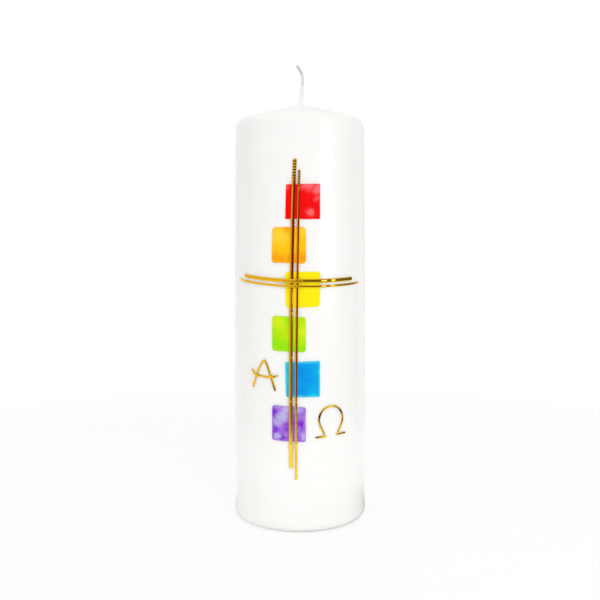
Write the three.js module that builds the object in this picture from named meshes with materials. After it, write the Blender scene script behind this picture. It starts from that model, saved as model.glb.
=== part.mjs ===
// A pillar candle for Easter: white wax with a shallow cone top, six coloured wax squares,
// a gold cross of four thin wax strips, and an alpha and an omega bent from the same gold strip.
// Millimetres, +Z up. The front faces -Y, and the origin is the centre of the base.
import * as THREE from 'three';

// Body: the pressed core and the coat that it is dipped in
const bodyDiameter = 80;
const bodyHeight = 250;
const coneRise = 11;
const shoulderRadius = 6.5;
const baseEdgeRadius = 4;
const wallDrawIn = 1.1;
const wallDrawInHeight = 170;
const coatThickness = 2.5;
const coatFloor = 2;
const coreGap = 0.3;

// Wick, and the wax that the dip leaves on its foot
const wickDiameter = 1.7;
const wickClearance = 0.15;
const sleeveLength = 11.5;
const sleeveWall = 0.3;
const sleeveFootSpread = 1.6;
const sleeveFootHeight = 3;

// Trim: how far each pressed-on piece stays off what carries it, and how gently a strip climbs over one
const pressGap = 0.15;
const climbLength = 3;
const climbMargin = 0.4;

// The trim as a whole hangs a little below the middle of the body
const trimDrop = 2.8;

// Coloured squares of wax sheet, one below the other in two columns
const tileSide = 20;
const tileThickness = 0.5;
const tileGap = 4.9;
const topTileAbove = 66.9;
const columnCentre = -2.35;
const columnShift = 4.05;

// Gold strips: the wide and narrow ones of the cross, and the fine one of the letters
const wideStrip = { width: 2.1, crown: 0.8 };
const narrowStrip = { width: 1.25, crown: 0.7 };
const letterStrip = { width: 1.1, crown: 0.7 };
const stripEdge = 0.35;

// The cross: lengths along the wall from the front centre line, and how far each upright reaches from the
// trim's middle
const uprightWide = { below: 84.1, above: 90.7, lean: 2.15, bend: 3 };
const uprightNarrow = { below: 90.6, above: 84.6, lean: 1.87, bend: 2 };
const uprightFootOffset = -5.1;
const uprightGap = 1.2;
const armWide = { left: -36.7, right: 33.5 };
const armNarrow = { left: -44, right: 41.3 };
const armAbove = 22.2;
const armGap = 1.4;
const armLowPoint = 7;
const armBowRadius = 376;

// The alpha stands left of the blue square and the omega right of the violet one
const alphaGap = 13.5;
const alphaRise = 1.6;
const alphaArchPoints = [
  [-7.9, -7.5],
  [-4.4, 1.4],
  [-1.3, 7.2],
  [0.1, 8.2],
  [1.4, 7.4],
  [3.9, 1.3],
  [7.35, -8.5],
];
const alphaBarPoints = [[-9, 2.8], [-5.2, 0.1], [0.6, -0.8], [6.5, -0.4], [9.1, 0.4]];
const omegaGap = 15.2;
const omegaRise = 1.9;
const omegaRadius = 7.6;
const omegaOpening = 20;
const omegaLegSpread = 4.3;
const omegaLegSlant = 0.25;
const omegaJoinGap = 0.3;
const omegaFootDrop = 9.3;
const omegaFootStart = 3.1;
const omegaFootLength = 6.5;
const omegaFootSlope = 0.06;

// How finely the shapes are faceted
const bodySides = 64;
const edgeSteps = 4;
const shoulderSteps = 7;
const drawInSteps = 4;
const sleeveSteps = 3;
const wickSides = 8;
const wickSteps = 80;
const stripSides = 3;
const uprightStep = 3;
const armStep = 2;
const letterStep = 1.3;
const routeParts = 12;
const omegaParts = 8;
const searchStep = 0.25;
const tileStep = 2.6;
const cornerSteps = 3;

const bodyRadius = bodyDiameter / 2;
const coneSlope = coneRise / bodyRadius;
const coneFactor = Math.hypot(1, coneSlope);
const shoulderWallRadius = bodyRadius - wallDrawIn;
const shoulderCentreRadius = shoulderWallRadius - shoulderRadius;
const shoulderCentreHeight = bodyHeight - coneSlope * shoulderCentreRadius - shoulderRadius * coneFactor;
const wickRadius = wickDiameter / 2;
const boreRadius = wickRadius + wickClearance;
const sleeveTopHeight = bodyHeight + sleeveLength;
const trimMiddle = bodyHeight / 2 - trimDrop;

// Where the wick goes once it leaves the cone: sideways, towards the back, and above the cone's point
const wickBends = [
  [0, 0, -4],
  [0.5, 0, 2],
  [1.35, 0, 8],
  [1.62, 0, 13.5],
  [1.5, 0, 16.5],
  [0.5, 0, 19.6],
  [-0.85, 0, 21.8],
  [-1.75, 0, 23.3],
];

// Each square, from the top down: its column (1 right, -1 left), how far the knife cut it wider and taller
// than the rest, its corners, and how much further below the last one it was laid than the even gap
const tiles = [
  { name: 'tile_red', column: 1, wider: -0.3, taller: -0.4, corner: 0.4, lower: 0, colour: '#e5101c' },
  { name: 'tile_orange', column: -1, wider: -0.4, taller: 0.2, corner: 2, lower: -0.3, colour: '#f79312' },
  { name: 'tile_yellow', column: 1, wider: -0.4, taller: 0.1, corner: 2, lower: 0, colour: '#fbea10' },
  { name: 'tile_green', column: -1, wider: -0.6, taller: -0.3, corner: 1.6, lower: 0.4, colour: '#9bdc22' },
  { name: 'tile_blue', column: 1, wider: -0.4, taller: 0.2, corner: 0.8, lower: 0.8, colour: '#0f93dc' },
  { name: 'tile_violet', column: -1, wider: -0.5, taller: 0, corner: 1.5, lower: 0.4, colour: '#9b6ad0' },
];
tiles.forEach((tile, row) => {
  tile.width = tileSide + tile.wider;
  tile.height = tileSide + tile.taller;
  tile.along = columnCentre + tile.column * columnShift;
  const above = tiles[row - 1];
  tile.level = above
    ? above.level - (above.height + tile.height) / 2 - tileGap - tile.lower
    : trimMiddle + topTileAbove;
});
const blueTile = tiles.find((tile) => tile.name === 'tile_blue');
const violetTile = tiles.find((tile) => tile.name === 'tile_violet');
const alphaCentre = {
  along: blueTile.along - blueTile.width / 2 - alphaGap,
  height: blueTile.level + alphaRise,
};
const omegaCentre = {
  along: violetTile.along + violetTile.width / 2 + omegaGap,
  height: violetTile.level + omegaRise,
};

const whiteWax = { color: '#f4f3ee', roughness: 0.45, metalness: 0 };
const coreWax = { color: '#ece9df', roughness: 0.6, metalness: 0 };
const cotton = { color: '#d9d8cf', roughness: 0.9, metalness: 0 };
const goldWax = { color: '#d8a520', roughness: 0.25, metalness: 1 };
const sheetWax = { roughness: 0.4, metalness: 0 };

const candle = new THREE.Group();
candle.name = 'easter_candle';

function addPiece(name, geometry, finish) {
  const piece = new THREE.Mesh(geometry, new THREE.MeshStandardMaterial(finish));
  piece.name = name;
  candle.add(piece);
}

// The wall draws in a little towards the shoulder, so a piece on the wall asks for its radius at each height.
function wallRadius(height) {
  const part = (height - (shoulderCentreHeight - wallDrawInHeight)) / wallDrawInHeight;
  return bodyRadius - wallDrawIn * THREE.MathUtils.clamp(part, 0, 1) ** 2;
}

// A place on the wall, by the length along it from the front centre line, its height and its depth outwards.
function onWall(along, height, depth) {
  const angle = along / bodyRadius;
  const radius = wallRadius(height) + depth;
  return new THREE.Vector3(radius * Math.sin(angle), -radius * Math.cos(angle), height);
}

// Moves every point of a geometry, by a function from the point to its new place.
function reshape(geometry, move) {
  const position = geometry.attributes.position;
  const point = new THREE.Vector3();
  for (let i = 0; i < position.count; i += 1) {
    point.fromBufferAttribute(position, i);
    const moved = move(point);
    position.setXYZ(i, moved.x, moved.y, moved.z);
  }
  geometry.computeVertexNormals();
  return geometry;
}

function turned(profile, sides) {
  const points = profile.map(([radius, height]) => new THREE.Vector2(radius, height));
  return new THREE.LatheGeometry(points, sides).rotateX(Math.PI / 2);
}

function arcPoints(centreRadius, centreHeight, radius, fromDegrees, toDegrees, steps) {
  const points = [];
  for (let i = 0; i <= steps; i += 1) {
    const angle = THREE.MathUtils.degToRad(fromDegrees + ((toDegrees - fromDegrees) * i) / steps);
    points.push([centreRadius + radius * Math.cos(angle), centreHeight + radius * Math.sin(angle)]);
  }
  return points;
}

// Wick
function freeWickRoute() {
  return new THREE.CatmullRomCurve3(wickBends.map(([x, y, z]) => new THREE.Vector3(x, y, bodyHeight + z)));
}

function wickRoute() {
  const free = freeWickRoute();
  const route = new THREE.CurvePath();
  route.add(new THREE.LineCurve3(new THREE.Vector3(0, 0, coatFloor + coreGap), free.getPoint(0)));
  route.add(free);
  return route;
}

const freeWickPoints = freeWickRoute().getSpacedPoints(wickSteps);

// How far the wick has moved off the axis at a height.
function wickOffset(height) {
  const next = freeWickPoints.findIndex((point) => point.z >= height);
  if (next < 1) {
    return freeWickPoints.at(next);
  }
  const below = freeWickPoints[next - 1];
  const part = (height - below.z) / (freeWickPoints[next].z - below.z);
  return below.clone().lerp(freeWickPoints[next], part);
}

function wick() {
  const corners = arcPoints(0, 0, wickRadius, 0, 360 - 360 / wickSides, wickSides - 1);
  const section = new THREE.Shape(corners.map(([x, y]) => new THREE.Vector2(x, y)));
  return new THREE.ExtrudeGeometry(section, { steps: wickSteps, extrudePath: wickRoute() });
}

// Body
function coneHeight(radius) {
  return bodyHeight - coneSlope * radius;
}

function sleeveProfile() {
  const sleeveRadius = boreRadius + sleeveWall;
  const footRadius = sleeveRadius + sleeveFootSpread;
  const foot = new THREE.QuadraticBezierCurve(
    new THREE.Vector2(footRadius, coneHeight(footRadius)),
    new THREE.Vector2(sleeveRadius + sleeveWall, coneHeight(sleeveRadius)),
    new THREE.Vector2(sleeveRadius, bodyHeight + sleeveFootHeight),
  );
  const points = foot.getPoints(sleeveSteps).map((point) => [point.x, point.y]);
  const straight = sleeveLength - sleeveFootHeight;
  for (let i = 1; i <= sleeveSteps; i += 1) {
    points.push([sleeveRadius, bodyHeight + sleeveFootHeight + (straight * i) / sleeveSteps]);
  }
  for (let i = 0; i <= sleeveSteps; i += 1) {
    points.push([boreRadius, sleeveTopHeight - (sleeveLength * i) / sleeveSteps]);
  }
  return points;
}

function drawInProfile() {
  const points = [];
  for (let i = 0; i < drawInSteps; i += 1) {
    const height = shoulderCentreHeight - wallDrawInHeight * (1 - i / drawInSteps);
    points.push([wallRadius(height), height]);
  }
  return points;
}

const cavityRadius = bodyRadius - wallDrawIn - coatThickness;
const cavityTip = bodyHeight - coatThickness * coneFactor;

function shoulderProfile() {
  const coneDegrees = THREE.MathUtils.radToDeg(Math.atan(coneSlope));
  return arcPoints(
    shoulderCentreRadius,
    shoulderCentreHeight,
    shoulderRadius,
    0,
    90 - coneDegrees,
    shoulderSteps,
  );
}

function coat() {
  const profile = [
    [0, 0],
    ...arcPoints(bodyRadius - baseEdgeRadius, baseEdgeRadius, baseEdgeRadius, -90, 0, edgeSteps),
    ...drawInProfile(),
    ...shoulderProfile(),
    ...sleeveProfile(),
    [boreRadius, cavityTip - coneSlope * boreRadius],
    [cavityRadius, cavityTip - coneSlope * cavityRadius],
    [cavityRadius, coatFloor],
    [0, coatFloor],
  ];
  return reshape(turned(profile, bodySides), (point) => {
    if (point.z > cavityTip) {
      const offset = wickOffset(point.z);
      return new THREE.Vector3(point.x + offset.x, point.y + offset.y, point.z);
    }
    return point;
  });
}

function core() {
  const radius = cavityRadius - coreGap;
  const foot = coatFloor + coreGap;
  const tip = cavityTip - coreGap * coneFactor;
  return turned(
    [
      [boreRadius, foot],
      [radius, foot],
      [radius, tip - coneSlope * radius],
      [boreRadius, tip - coneSlope * boreRadius],
      [boreRadius, foot],
    ],
    bodySides,
  );
}

// Coloured squares
function tileStations(width, corner) {
  const straight = width / 2 - corner;
  const stations = [];
  for (let i = cornerSteps; i >= 1; i -= 1) {
    stations.push(-straight - corner * Math.sin((Math.PI / 2) * (i / cornerSteps)));
  }
  const flats = Math.ceil((2 * straight) / tileStep);
  for (let i = 0; i <= flats; i += 1) {
    stations.push(-straight + (2 * straight * i) / flats);
  }
  for (let i = 1; i <= cornerSteps; i += 1) {
    stations.push(straight + corner * Math.sin((Math.PI / 2) * (i / cornerSteps)));
  }
  return stations;
}

function square(tile) {
  const stations = tileStations(tile.width, tile.corner);
  const last = stations.length - 1;
  const sheet = new THREE.BoxGeometry(tile.width, tile.height, tileThickness, last, 1, 1);
  return reshape(sheet, (point) => {
    const along = stations[Math.round((point.x / tile.width + 0.5) * last)];
    const past = Math.max(0, Math.abs(along) - (tile.width / 2 - tile.corner));
    const rounded = tile.corner - Math.sqrt(Math.max(0, tile.corner ** 2 - past ** 2));
    const height = Math.sign(point.y) * (tile.height / 2 - rounded);
    return onWall(tile.along + along, tile.level + height, pressGap + tileThickness / 2 + point.z);
  });
}

// What a strip may lie over: how far a place is from it along the wall, and how high its face stands
function tileSupport(tile) {
  return {
    distance(place) {
      const side = Math.max(0, Math.abs(place.x - tile.along) - tile.width / 2);
      const end = Math.max(0, Math.abs(place.y - tile.level) - tile.height / 2);
      return Math.hypot(side, end);
    },
    faceHeight: () => pressGap + tileThickness,
  };
}

function nearestOf(points, place) {
  return points.reduce((nearest, point) => {
    const closer = point.distanceTo(place) < nearest.distanceTo(place);
    return closer ? point : nearest;
  });
}

function stripSupport({ route, stock, over }) {
  const points = route.getSpacedPoints(Math.ceil(route.getLength() / searchStep));
  return {
    distance: (place) => Math.max(0, nearestOf(points, place).distanceTo(place) - stock.width / 2),
    faceHeight: (place) => liftAt(nearestOf(points, place), stock.width, over) + stock.crown,
  };
}

// How high a strip's back stands off the wall at a place, so that it climbs over all that it crosses.
function liftAt(place, width, supports) {
  const reach = width / 2 + climbMargin;
  let lift = pressGap;
  supports.forEach((support) => {
    const off = support.distance(place) - reach;
    const share = 1 - THREE.MathUtils.smoothstep(off, 0, climbLength);
    if (share > 0) {
      lift = Math.max(lift, pressGap + support.faceHeight(place) * share);
    }
  });
  return lift;
}

// Strips of half-round section
function stripSection(stock) {
  const half = stock.width / 2;
  const section = new THREE.Shape();
  section.moveTo(-half, 0);
  section.lineTo(half, 0);
  section.lineTo(half, stripEdge);
  section.absellipse(0, stripEdge, half, stock.crown - stripEdge, 0, Math.PI, false);
  section.closePath();
  return section;
}

function layStrip(strip, step) {
  const steps = Math.ceil(strip.route.getLength() / step);
  const straight = new THREE.ExtrudeGeometry(stripSection(strip.stock), {
    depth: 1,
    steps,
    bevelEnabled: false,
    curveSegments: stripSides,
  });
  const stations = [];
  for (let i = 0; i <= steps; i += 1) {
    const place = strip.route.getPointAt(i / steps);
    stations.push({
      place,
      heading: strip.route.getTangentAt(i / steps),
      lift: liftAt(place, strip.stock.width, strip.over),
    });
  }
  return reshape(straight, (point) => {
    const { place, heading, lift } = stations[Math.round(point.z * steps)];
    return onWall(place.x - heading.y * point.x, place.y + heading.x * point.x, lift + point.y);
  });
}

function routeThrough(points) {
  return new THREE.SplineCurve(points.map(([along, height]) => new THREE.Vector2(along, height)));
}

function uprightRoute({ below, above, lean, bend }, footOffset) {
  const points = [];
  for (let i = 0; i <= routeParts; i += 1) {
    const part = i / routeParts;
    points.push([footOffset + lean * part ** bend, trimMiddle - below + (below + above) * part]);
  }
  return routeThrough(points);
}

function armRoute({ left, right }, height) {
  const points = [];
  for (let i = 0; i <= routeParts; i += 1) {
    const along = left + ((right - left) * i) / routeParts;
    points.push([along, height + (along - armLowPoint) ** 2 / (2 * armBowRadius)]);
  }
  return routeThrough(points);
}

function alphaRoute(points) {
  return routeThrough(points.map(([x, y]) => [alphaCentre.along + x, alphaCentre.height + y]));
}

// A place on the line of the omega's feet, by its side (1 right, -1 left) and how far it is off the middle.
function omegaFootPlace(side, off) {
  const height = omegaCentre.height - omegaFootDrop + omegaFootSlope * side * off;
  return [omegaCentre.along + side * off, height];
}

// Each leg stops short of its foot by half the foot's width, what its slanted end hangs lower, and the gap.
function omegaLegEnd(side) {
  const [along, footHeight] = omegaFootPlace(side, omegaLegSpread);
  return [along, footHeight + letterStrip.width * (0.5 + omegaLegSlant) + omegaJoinGap];
}

function omegaRoute() {
  const { along, height } = omegaCentre;
  const arc = arcPoints(along, height, omegaRadius, 180 + omegaOpening, -omegaOpening, omegaParts);
  return routeThrough([omegaLegEnd(-1), ...arc, omegaLegEnd(1)]);
}

function omegaFootRoute(side) {
  const ends = [omegaFootStart, omegaFootStart + omegaFootLength];
  return routeThrough(ends.map((off) => omegaFootPlace(side, off)));
}

addPiece('wax_core', core(), coreWax);
addPiece('overdip_coat', coat(), whiteWax);
addPiece('wick', wick(), cotton);
tiles.forEach((tile) => addPiece(tile.name, square(tile), { ...sheetWax, color: tile.colour }));

// Each strip: its stock, its route and what it lies over
const squaresBelow = tiles.map(tileSupport);
const halfWidths = (wideStrip.width + narrowStrip.width) / 2;
const narrowFootOffset = uprightFootOffset + uprightGap + halfWidths;
const wideArmHeight = trimMiddle + armAbove;
const narrowArmHeight = wideArmHeight - armGap - halfWidths;
const uprights = [
  {
    name: 'upright_wide',
    stock: wideStrip,
    route: uprightRoute(uprightWide, uprightFootOffset),
    over: squaresBelow,
  },
  {
    name: 'upright_narrow',
    stock: narrowStrip,
    route: uprightRoute(uprightNarrow, narrowFootOffset),
    over: squaresBelow,
  },
];
const underArms = [...squaresBelow, ...uprights.map(stripSupport)];
const arms = [
  {
    name: 'crossarm_wide',
    stock: wideStrip,
    route: armRoute(armWide, wideArmHeight),
    over: underArms,
  },
  {
    name: 'crossarm_narrow',
    stock: narrowStrip,
    route: armRoute(armNarrow, narrowArmHeight),
    over: underArms,
  },
];
const alphaArch = { name: 'alpha_arch', stock: letterStrip, route: alphaRoute(alphaArchPoints), over: [] };
const letters = [
  alphaArch,
  {
    name: 'alpha_crossbar',
    stock: letterStrip,
    route: alphaRoute(alphaBarPoints),
    over: [stripSupport(alphaArch)],
  },
  { name: 'omega_loop', stock: letterStrip, route: omegaRoute(), over: [] },
  { name: 'omega_left_foot', stock: letterStrip, route: omegaFootRoute(-1), over: [] },
  { name: 'omega_right_foot', stock: letterStrip, route: omegaFootRoute(1), over: [] },
];
uprights.forEach((strip) => addPiece(strip.name, layStrip(strip, uprightStep), goldWax));
arms.forEach((strip) => addPiece(strip.name, layStrip(strip, armStep), goldWax));
letters.forEach((strip) => addPiece(strip.name, layStrip(strip, letterStep), goldWax));

export default candle;
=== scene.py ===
"""The looks of a pillar candle for Easter: white wax, six coloured squares, a gold cross and two letters.

Metres, +Z up. The front faces -Y, and the origin is the centre of the base.
"""
import math

import bmesh
import bpy
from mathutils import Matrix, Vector, noise


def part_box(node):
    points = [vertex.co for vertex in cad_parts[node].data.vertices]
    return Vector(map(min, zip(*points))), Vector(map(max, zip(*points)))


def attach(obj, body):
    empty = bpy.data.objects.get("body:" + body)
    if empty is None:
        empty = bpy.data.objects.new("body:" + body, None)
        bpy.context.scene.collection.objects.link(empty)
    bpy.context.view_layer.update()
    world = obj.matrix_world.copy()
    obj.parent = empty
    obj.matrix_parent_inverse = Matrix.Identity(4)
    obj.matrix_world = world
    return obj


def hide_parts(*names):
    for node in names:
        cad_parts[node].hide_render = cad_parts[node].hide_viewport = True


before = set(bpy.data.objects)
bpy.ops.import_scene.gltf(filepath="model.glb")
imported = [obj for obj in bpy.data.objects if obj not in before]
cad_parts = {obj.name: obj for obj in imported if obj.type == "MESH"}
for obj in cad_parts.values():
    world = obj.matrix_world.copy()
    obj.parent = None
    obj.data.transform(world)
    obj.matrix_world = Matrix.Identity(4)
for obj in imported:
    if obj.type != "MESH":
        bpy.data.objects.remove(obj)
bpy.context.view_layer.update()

MM = 0.001

# Camera: how far in front of the axis it stands, how high, how far it looks down, and how the view is cut
CAMERA_DISTANCE = 500 * MM
CAMERA_HEIGHT = 164.3 * MM
CAMERA_TILT_DEGREES = 2.16
IMAGE_WIDTH_PX = 600
FOCAL_LENGTH_PX = 818
AXIS_PX = 299.9
HORIZON_PX = 276.5
SENSOR_WIDTH = 36

# Body: the coat's box gives its radius and the top of the sleeve on the wick
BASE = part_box("overdip_coat")[0].z
BODY_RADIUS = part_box("overdip_coat")[1].x
SLEEVE_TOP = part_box("overdip_coat")[1].z
SLEEVE_LENGTH = 11.5 * MM
CONE_POINT = SLEEVE_TOP - SLEEVE_LENGTH
CONE_RISE = 11 * MM
CONE_SLOPE = CONE_RISE / BODY_RADIUS
CONE_FACTOR = math.hypot(1, CONE_SLOPE)
SHOULDER_RADIUS = 6.5 * MM
BASE_EDGE_RADIUS = 5 * MM
WALL_DRAW_IN = 1.1 * MM
WALL_DRAW_IN_HEIGHT = 170 * MM
COAT_THICKNESS = 2.5 * MM
COAT_FLOOR = 2 * MM
SHOULDER_CENTRE_RADIUS = BODY_RADIUS - WALL_DRAW_IN - SHOULDER_RADIUS
SHOULDER_CENTRE_HEIGHT = CONE_POINT - CONE_SLOPE * SHOULDER_CENTRE_RADIUS - SHOULDER_RADIUS * CONE_FACTOR
DRAW_IN_START = SHOULDER_CENTRE_HEIGHT - WALL_DRAW_IN_HEIGHT
WALL_WAVE_DEPTH = 0.03 * MM
WALL_WAVE_SCALE = 55

# Wick: its line across and up from the cone's point in millimetres, and how far out the wax leans with it
WICK_RADIUS = 0.85 * MM
WICK_BENDS = [
    (0, -4),
    (0.5, 2),
    (1.35, 8),
    (1.62, 13.5),
    (1.5, 16.5),
    (0.5, 19.6),
    (-0.85, 21.8),
    (-1.75, 23.3),
]
LEAN_REACH = 10 * MM

# Sleeve of wax on the wick's foot: its wall thins out to a rim at the top, and the braid marks it
SLEEVE_WALL = 0.45 * MM
SLEEVE_RIM = 0.06 * MM
SLEEVE_GRIP = 0.1 * MM
SLEEVE_FOOT_SPREAD = 1.6 * MM
SLEEVE_FOOT_HEIGHT = 3 * MM
SLEEVE_THINNING = 5 * MM
MARKS_ROUND = 2
MARK_DEPTH = 0.05 * MM

# Braid: flattened strands that weave over and under each other, and fray at the cut tip
BRAID_PITCH = 5.6 * MM
STRANDS_EACH_WAY = 5
STRAND_RADIUS = 0.2 * MM
STRAND_WIDENING = 1.25
STRAND_FLATTENING = 0.9
STRAND_COVER = 0.17 * MM
STRAND_WEAVE = 0.05 * MM
WEAVES_IN_A_TURN = 4
STRAND_END_SPREAD = 0.25 * MM
CORE_END_COVER = 0.4 * MM
FRAY_LENGTH = 1.2 * MM
FRAY_SPREAD = 0.12 * MM
FRAY_THINNING = 0.35

# Trim: the gap that the frame leaves under each pressed-on piece, and how far the wax takes it in
PRESS_GAP = 0.15 * MM
PRESS_SINK = 0.08 * MM
SHEET_THICKNESS = 0.5 * MM
SHEET_EDGE_ROUND = 0.22 * MM
SHEET_DENT_DEPTH = 0.03 * MM
SHEET_DENT_SCALE = 180
KNIFE_WANDER = 0.12 * MM
KNIFE_WANDER_SCALE = 1.9
SQUARES_APART_IN_NOISE = 900

# Climb of a strip: how long it is at a square and at another strip, and how early the strip is at full height
SQUARE_CLIMB = 6 * MM
STRIP_CLIMB = 1.6 * MM
CLIMB_MARGIN = 0.4 * MM

# Section of a strip: the shares of the crown and of the ribs that are left at a tapered end and at the edges
TAPERED_CROWN = 0.4
RIB_AT_EDGE = 0.35
BACK_SPREAD = 1.3
ANGLE_SLACK = 0.001

# Cross: each upright's foot and lean to the right, and the arms' ends, heights and bow about a low point
WIDE_FOOT_ALONG = -5.1 * MM
WIDE_LEAN = 2.15 * MM
WIDE_BEND = 3
NARROW_FOOT_ALONG = -2.225 * MM
NARROW_LEAN = 1.87 * MM
NARROW_BEND = 2
WIDE_ARM_ENDS = (-36.7 * MM, 33.5 * MM)
WIDE_ARM_HEIGHT = 144.4 * MM
NARROW_ARM_ENDS = (-44 * MM, 41.3 * MM)
NARROW_ARM_HEIGHT = 141.325 * MM
ARM_LOW_POINT = 7 * MM
ARM_BOW_RADIUS = 376 * MM

# Ribs of the uprights, and the painted red reflection on their right flank:
# over which shares of the length, and from which side, they come in and go out
WIDE_TOP_RIBS = (0.93, 0.94)
WIDE_FLANK_SIDE = (-0.35, 0.05)
WIDE_FLANK_START = (0.56, 0.62)
WIDE_FLANK_STOP = (0.93, 0.95)
WIDE_FLANK_DEPTH = 0.4
NARROW_TOP_RIBS = (0.94, 0.95)
NARROW_FOOT_RIBS = (0.25, 0.3)
NARROW_FOOT_DEPTH = 0.3
NARROW_FLANK_SIDE = (-0.5, -0.1)
NARROW_FLANK_START = (0.22, 0.28)
NARROW_FLANK_STOP = (0.93, 0.96)
NARROW_FLANK_DEPTH = 0.7

# Letters, in millimetres from the middle of each, and how far they stand from the squares beside them
ALPHA_GAP = 13.5 * MM
ALPHA_RISE = 1.6 * MM
ALPHA_ARCH = [(-7.9, -7.5), (-4.4, 1.4), (-1.3, 7.2), (0.1, 8.2), (1.4, 7.4), (3.9, 1.3), (7.35, -8.5)]
ALPHA_BAR = [(-9, 2.8), (-5.2, 0.1), (0.6, -0.8), (6.5, -0.4), (9.1, 0.4)]
OMEGA_GAP = 15.2 * MM
OMEGA_RISE = 1.9 * MM
OMEGA_RADIUS = 7.6
OMEGA_OPENING_DEGREES = 20
OMEGA_LEG_SPREAD = 4.3
OMEGA_LEG_LIFT = 1.125
OMEGA_FOOT_DROP = 9.3
OMEGA_FOOT_ENDS = (3.1, 9.6)
OMEGA_FOOT_SLOPE = 0.06
OMEGA_PARTS = 8

# Colours as a screen shows them, where the cotton goes from its first to its second between two heights
WHITE = (1, 1, 1, 1)
BLACK = (0, 0, 0, 1)
WHITE_WAX = "fbfbf8"
WAX_BLOOM = "f7f7f2"
CORE_WAX = "f0ede3"
CORE_GRAIN = "dfdacb"
COTTON = ("ecebe7", "deddd5")
COTTON_SHADE = ("cfcec9", "b5b3a9")
COTTON_CHANGE = (16 * MM, 20 * MM)
GOLD = "fad22e"
# Painted shade and wear: the darker gold towards the strips' sides and at dents
SHADED_WORN_GOLD = "c47e1c"
# Painted reflection: red laid on the uprights' right flanks
PAINTED_RED_REFLECTION = "d8301a"
# Painted shade and painted dark reflection: brown laid in the rib grooves and in spots on the letters
PAINTED_SHADE_BROWN = "5a1405"
NEAR_FLOOR = "fafafa"
FAR_FLOOR = "dcdcdc"
DIM_SIDE = "696461"
HALF_LIT_SIDE = "bc9090"

# Floor: how it fades to white with the distance, and the ring of bright table that the gold mirrors
FLOOR_RADIUS = 4
FLOOR_DROP = 0.05 * MM
FLOOR_FADE = (150 * MM, 600 * MM)
FLOOR_GLOW = 1.02
NEAR_GLOW_SHARE = 0.7
TABLE_START = (75 * MM, 120 * MM)
TABLE_END = (230 * MM, 320 * MM)
TABLE_GLOW = 1.1

# Walls that light the candle, a little dimmer on the right and above
WALL_BRIGHTNESS = 0.99
RIGHT_DIMMING = 0.3
RIGHT_DIMMING_EDGE = (0.3, 1)
UPPER_DIMMING = 0.1
UPPER_DIMMING_EDGE = (0.4, 1)

# Room that the gold mirrors: dim in front and on the right, and brighter on the left, behind and above
LEFT_BRIGHTNESS = 0.72
ROOM_LEFT_EDGE = (-0.12, 0.12)
FLOOR_LEFT_EDGE = (-0.1, 0.7)
BACK_BRIGHTNESS = 0.85
BACK_EDGE = (0.25, 0.6)
ABOVE_BRIGHTNESS = 0.65
ABOVE_EDGE = (0.3, 0.8)

# How finely the pieces are made
BODY_SIDES = 192
BASE_EDGE_PARTS = 10
WALL_STEP = 2.4 * MM
SHOULDER_PARTS = 16
CONE_STEP = 1.6 * MM
FLARE_PARTS = 12
SLEEVE_STEP = 0.2 * MM
CORE_SIDES = 12
CORE_STATIONS = 320
STRAND_SIDES = 8
STRAND_STATIONS = 330
SQUARE_CELLS = 56
CLOSER_AT_RIM = 0.36
ROUTE_PARTS = 24
SHARP_DEGREES = 42
SAME_SPOT = 0.001 * MM


# Camera
def place_camera():
    camera = bpy.data.objects.new("camera", bpy.data.cameras.new("camera"))
    bpy.context.scene.collection.objects.link(camera)
    camera.location = (0, -CAMERA_DISTANCE, CAMERA_HEIGHT)
    camera.rotation_euler = (math.radians(90 - CAMERA_TILT_DEGREES), 0, 0)
    camera.data.sensor_width = SENSOR_WIDTH
    camera.data.lens = SENSOR_WIDTH * FOCAL_LENGTH_PX / IMAGE_WIDTH_PX
    camera.data.shift_x = (IMAGE_WIDTH_PX / 2 - AXIS_PX) / IMAGE_WIDTH_PX
    camera.data.shift_y = (HORIZON_PX - IMAGE_WIDTH_PX / 2) / IMAGE_WIDTH_PX
    camera.data.clip_start = 10 * MM
    bpy.context.scene.camera = camera


place_camera()
bpy.context.scene.view_settings.view_transform = "Standard"


class Value:
    """A socket that carries a number, where an expression on values adds the Math nodes."""

    def __init__(self, finish, socket):
        self.finish = finish
        self.socket = socket

    def __add__(self, other):
        return self.finish.maths("ADD", self, other)

    def __sub__(self, other):
        return self.finish.maths("SUBTRACT", self, other)

    def __rsub__(self, other):
        return self.finish.maths("SUBTRACT", other, self)

    def __mul__(self, other):
        return self.finish.maths("MULTIPLY", self, other)

    def __truediv__(self, other):
        return self.finish.maths("DIVIDE", self, other)

    def __pow__(self, other):
        return self.finish.maths("POWER", self, other)

    __radd__ = __add__
    __rmul__ = __mul__

    def rise(self, start, end):
        """0 below start and 1 above end, with a smooth rise between them."""
        settings = {"interpolation_type": "SMOOTHSTEP"}
        limits = {"Value": self, "From Min": start, "From Max": end}
        return self.finish.node("MapRange", settings, limits)


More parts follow.
